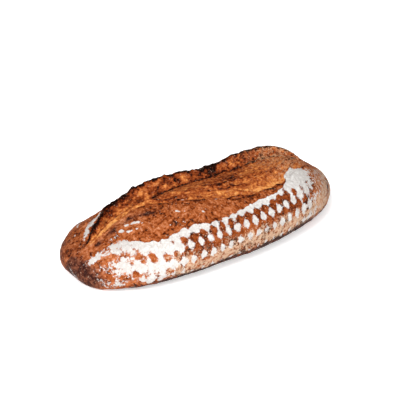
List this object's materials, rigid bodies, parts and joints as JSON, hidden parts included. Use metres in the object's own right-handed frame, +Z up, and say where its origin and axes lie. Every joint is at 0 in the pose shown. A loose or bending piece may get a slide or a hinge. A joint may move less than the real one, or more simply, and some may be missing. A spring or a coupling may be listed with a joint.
{
  "type": "long oval country loaf",
  "caption": "Whole long oval country bread with a burst ear along its top and a basket-weave flour print on its flanks, standing on a flat underside.",
  "frame": {"origin": "on the table, under the middle of the loaf's bounding box", "axes": "+X along the loaf towards its full, rounded end, +Y towards the back, where the raised ear's outside faces, +Z up"},
  "size_m": [0.32, 0.1362, 0.075],
  "materials": {
    "crust": "matte",
    "flour": "matte"
  },
  "bodies": {
    "root": {"loaf": "crust"}
  },
  "joints": []
}
